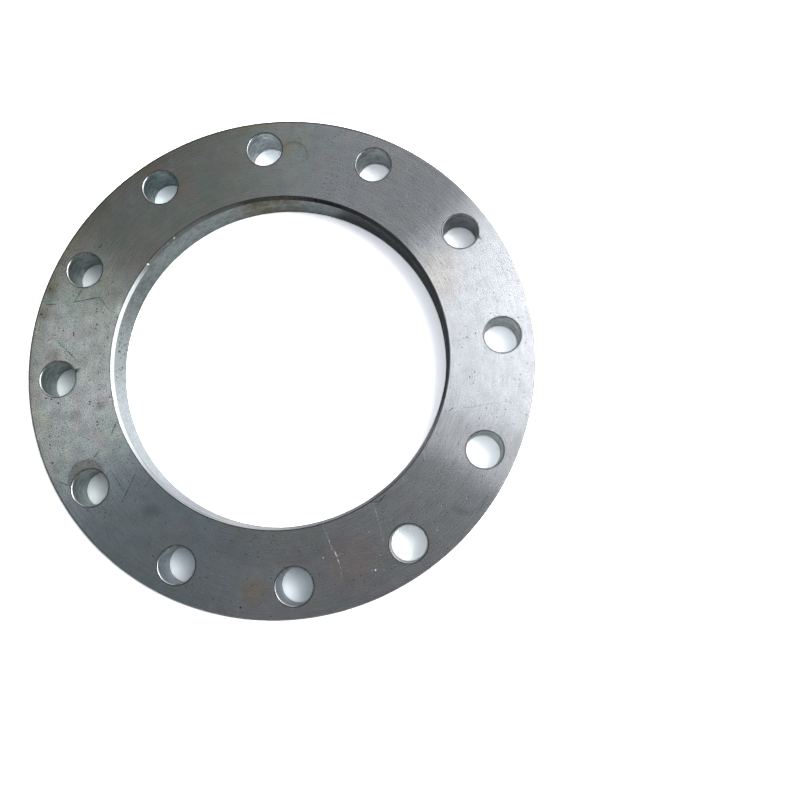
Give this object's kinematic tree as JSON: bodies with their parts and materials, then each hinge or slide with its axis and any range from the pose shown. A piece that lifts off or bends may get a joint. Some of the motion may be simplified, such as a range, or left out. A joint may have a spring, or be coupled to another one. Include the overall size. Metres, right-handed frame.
{
  "type": "slip on flange",
  "caption": "Flat-faced slip on plate flange in turned carbon steel, with a plain bore for the pipe, a weld chamfer at its mouth and bolt holes on one circle.",
  "frame": {"origin": "centre of the lower face, on the axis of the bore", "axes": "+Z along the bore, from the lower face to the face with the weld chamfer; +X and +Y lie on the centre lines that the bolt holes stand astride"},
  "size_m": [0.33, 0.33, 0.022],
  "materials": {
    "turned_steel": "bare carbon steel, faced and bored on a lathe, with fine ring marks, handling scratches, small pits and faint brown and oil stains"
  },
  "bodies": {
    "root": {"slip_on_flange": "turned_steel"}
  },
  "joints": []
}
